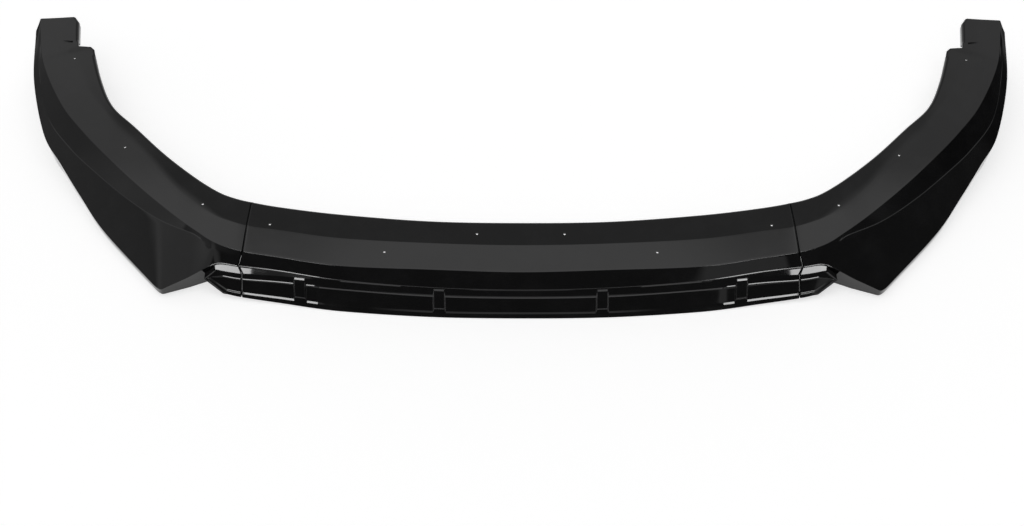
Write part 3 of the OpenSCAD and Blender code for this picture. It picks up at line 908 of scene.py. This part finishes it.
def zinc_plate():
    """Bright zinc with a fine grain in its colour and its roughness."""
    material = bpy.data.materials.new("zinc_plate")
    material.use_nodes = True
    tree = material.node_tree
    shader = tree.nodes["Principled BSDF"]
    shader.inputs["Metallic"].default_value = 1.0
    place = add_node(tree, "ShaderNodeTexCoord")
    spangle = add_node(tree, "ShaderNodeTexNoise", in_Scale=700.0, in_Detail=3.0)
    tint = add_node(tree, "ShaderNodeValToRGB")
    tint.color_ramp.elements[0].color = ZINC_DARK
    tint.color_ramp.elements[1].color = ZINC_LIGHT
    rough = add_node(tree, "ShaderNodeMapRange", in_To_Min=ZINC_SMOOTH, in_To_Max=ZINC_ROUGH)
    tree.links.new(place.outputs["Object"], spangle.inputs["Vector"])
    tree.links.new(spangle.outputs["Fac"], tint.inputs["Fac"])
    tree.links.new(spangle.outputs["Fac"], rough.inputs["Value"])
    tree.links.new(tint.outputs["Color"], shader.inputs["Base Color"])
    tree.links.new(rough.outputs["Result"], shader.inputs["Roughness"])
    return material


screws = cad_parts["joint_screws"]
screws.data.materials.clear()
screws.data.materials.append(zinc_plate())


# Floor, lights and camera
# The lip lies on a white floor in a soft studio, brightest overhead and dim at the right, and is seen from
# the front and well above. Two softboxes high over its ends show only in the gloss, as light lines.
FLOOR_COLOUR = (0.8, 0.8, 0.8, 1)
FLOOR_ROUGHNESS = 0.9
FLOOR_GLOW = 0.655
FLOOR_SIZE = 30


def white_stage():
    """A white floor that keeps the shadow that falls on it."""
    material = bpy.data.materials.new("white_stage")
    material.use_nodes = True
    tree = material.node_tree
    shader = tree.nodes["Principled BSDF"]
    shader.inputs["Base Color"].default_value = FLOOR_COLOUR
    shader.inputs["Roughness"].default_value = FLOOR_ROUGHNESS
    shader.inputs["Specular IOR Level"].default_value = 0.0
    path = add_node(tree, "ShaderNodeLightPath")
    seen = add_node(tree, "ShaderNodeMath", operation="MAXIMUM")
    clear = add_node(tree, "ShaderNodeMath", operation="MAXIMUM")
    glow = add_node(tree, "ShaderNodeEmission")
    share = add_node(tree, "ShaderNodeMath", operation="MULTIPLY")
    share.inputs[1].default_value = FLOOR_GLOW
    both = add_node(tree, "ShaderNodeAddShader")
    link = tree.links.new
    link(path.outputs["Is Camera Ray"], seen.inputs[0])
    link(path.outputs["Is Glossy Ray"], seen.inputs[1])
    link(seen.outputs["Value"], clear.inputs[0])
    link(path.outputs["Is Transmission Ray"], clear.inputs[1])
    link(clear.outputs["Value"], share.inputs[0])
    link(share.outputs["Value"], glow.inputs["Strength"])
    link(shader.outputs["BSDF"], both.inputs[0])
    link(glow.outputs["Emission"], both.inputs[1])
    link(both.outputs["Shader"], tree.nodes["Material Output"].inputs["Surface"])
    return material


reach = FLOOR_SIZE / 2
sheet = bpy.data.meshes.new("floor")
sheet.from_pydata([(-reach, -reach, 0), (reach, -reach, 0), (reach, reach, 0), (-reach, reach, 0)], [],
                  [(0, 1, 2, 3)])
sheet.materials.append(white_stage())
floor = bpy.data.objects.new("floor", sheet)
bpy.context.scene.collection.objects.link(floor)

SOFTBOX_PLACE = (0.95, -0.4, 1.87)
SOFTBOX_SIZE = (0.58, 0.9)
SOFTBOX_RADIANCE = 11


def softbox(side):
    """A lamp that faces straight down and is seen in the gloss only."""
    data = bpy.data.lights.new("softbox", "AREA")
    data.shape = "RECTANGLE"
    data.size, data.size_y = SOFTBOX_SIZE
    data.energy = SOFTBOX_RADIANCE * SOFTBOX_SIZE[0] * SOFTBOX_SIZE[1] * math.pi
    lamp = bpy.data.objects.new("softbox", data)
    lamp.location = (side * SOFTBOX_PLACE[0], SOFTBOX_PLACE[1], SOFTBOX_PLACE[2])
    lamp.rotation_euler = Vector((0, 0, -1)).to_track_quat("-Z", "Y").to_euler()
    lamp.visible_diffuse = False
    lamp.visible_camera = False
    bpy.context.scene.collection.objects.link(lamp)


for side in (-1, 1):
    softbox(side)


# Strength of the dome's parts, where 1 is white.
DOME_LEAST = 0.035
DOME_FRONT = 0.08
DOME_FRONT_LEFT = 0.26
DOME_FRONT_HIGH_LEFT = 0.4
DOME_FRONT_HIGH = 0.5
DOME_FRONT_RIGHT = 0.35
DOME_REAR = 0.34
DOME_REAR_LEFT = 0.44
DOME_REAR_RIGHT = 0.27
DOME_HORIZON = 1.6
DOME_OVERHEAD = 1.08
DOME_ZENITH = 0.3


def studio_world():
    """A soft dome: light overhead and low behind, dimmer to the left and the front, and dim at the right.

    x, y and z are those of the direction that the dome is seen in. A step goes from its start to its end
    between two values of one of them.
    """
    world = bpy.data.worlds.new("studio")
    world.use_nodes = True
    tree = world.node_tree
    link = tree.links.new
    place = add_node(tree, "ShaderNodeTexCoord")
    parts = add_node(tree, "ShaderNodeSeparateXYZ")
    link(place.outputs["Generated"], parts.inputs["Vector"])
    x, y, z = (parts.outputs[name] for name in "XYZ")

    def step(value, low, high, start=0.0, end=1.0):
        ramp = add_node(tree, "ShaderNodeMapRange", interpolation_type="SMOOTHSTEP")
        link(value, ramp.inputs["Value"])
        for name, amount in (("From Min", low), ("From Max", high), ("To Min", start), ("To Max", end)):
            ramp.inputs[name].default_value = amount
        return ramp.outputs["Result"]

    def math_of(operation, *values):
        node = add_node(tree, "ShaderNodeMath", operation=operation)
        for socket, value in zip(node.inputs, values):
            if isinstance(value, (int, float)):
                socket.default_value = value
            else:
                link(value, socket)
        return node.outputs["Value"]

    def product(*values):
        result = values[0]
        for value in values[1:]:
            result = math_of("MULTIPLY", result, value)
        return result

    def total(*values):
        result = values[0]
        for value in values[1:]:
            result = math_of("ADD", result, value)
        return result

    def blend(a, b, share):
        return math_of("MULTIPLY_ADD", math_of("SUBTRACT", b, a), share, a)

    across = math_of("ABSOLUTE", x)
    near = step(across, 0.45, 0.65, 1, 0)
    rear = total(DOME_REAR, product(step(x, -0.32, -0.2, DOME_REAR_LEFT, 0), near),
                 product(step(x, 0.2, 0.32, 0, DOME_REAR_RIGHT), near))
    rear = product(rear, step(x, 0.5, 0.7, 1, 0))
    front = total(
        DOME_FRONT,
        step(x, -0.85, -0.45, DOME_FRONT_LEFT, 0),
        product(step(x, -0.35, -0.2, DOME_FRONT_HIGH_LEFT, 0), step(z, 0.62, 0.72)),
        product(step(x, 0.24, 0.3, 0, DOME_FRONT_RIGHT), step(x, 0.52, 0.62, 1, 0),
                step(y, -0.75, -0.6, 1, 0), step(z, 0.23, 0.26, 1, 0)),
        product(step(across, 0.12, 0.2, DOME_FRONT_HIGH, 0), step(z, 0.45, 0.6)),
    )
    sides = blend(front, rear, step(y, -0.02, 0.2))
    horizon = product(step(y, 0.35, 0.55), step(z, 0.12, 0.25, 1, 0))
    sides = blend(sides, DOME_HORIZON, horizon)
    height = math_of("MULTIPLY_ADD", step(across, 0.2, 0.32), 0.07, z)
    overhead = product(step(height, 0.895, 0.94), step(y, -0.15, 0.1))
    strength = blend(sides, total(DOME_OVERHEAD, step(z, 0.95, 0.975, 0, DOME_ZENITH)), overhead)
    link(math_of("MAXIMUM", strength, DOME_LEAST), tree.nodes["Background"].inputs["Strength"])
    tree.nodes["Background"].inputs["Color"].default_value = (1, 1, 1, 1)
    return world


bpy.context.scene.world = studio_world()
bpy.context.scene.view_settings.view_transform = "Standard"

CAMERA_ELEVATION = math.radians(55)
CAMERA_DISTANCE = 2.6
CAMERA_ROLL = math.radians(0.107)
AIM = Vector((-0.0146, -0.2357, 0.069))
FOCAL_PIXELS = 1578.0
IMAGE_WIDTH = 1024
SENSOR_WIDTH = 36
lens = bpy.data.cameras.new("camera")
lens.sensor_width = SENSOR_WIDTH
lens.lens = FOCAL_PIXELS / IMAGE_WIDTH * SENSOR_WIDTH
camera = bpy.data.objects.new("camera", lens)
back = Vector((0, -math.cos(CAMERA_ELEVATION), math.sin(CAMERA_ELEVATION)))
camera.location = AIM + back * CAMERA_DISTANCE
facing = (-back).to_track_quat("-Z", "Y").to_matrix()
camera.rotation_euler = (facing @ Matrix.Rotation(CAMERA_ROLL, 3, "Z")).to_euler()
bpy.context.scene.collection.objects.link(camera)
bpy.context.scene.camera = camera
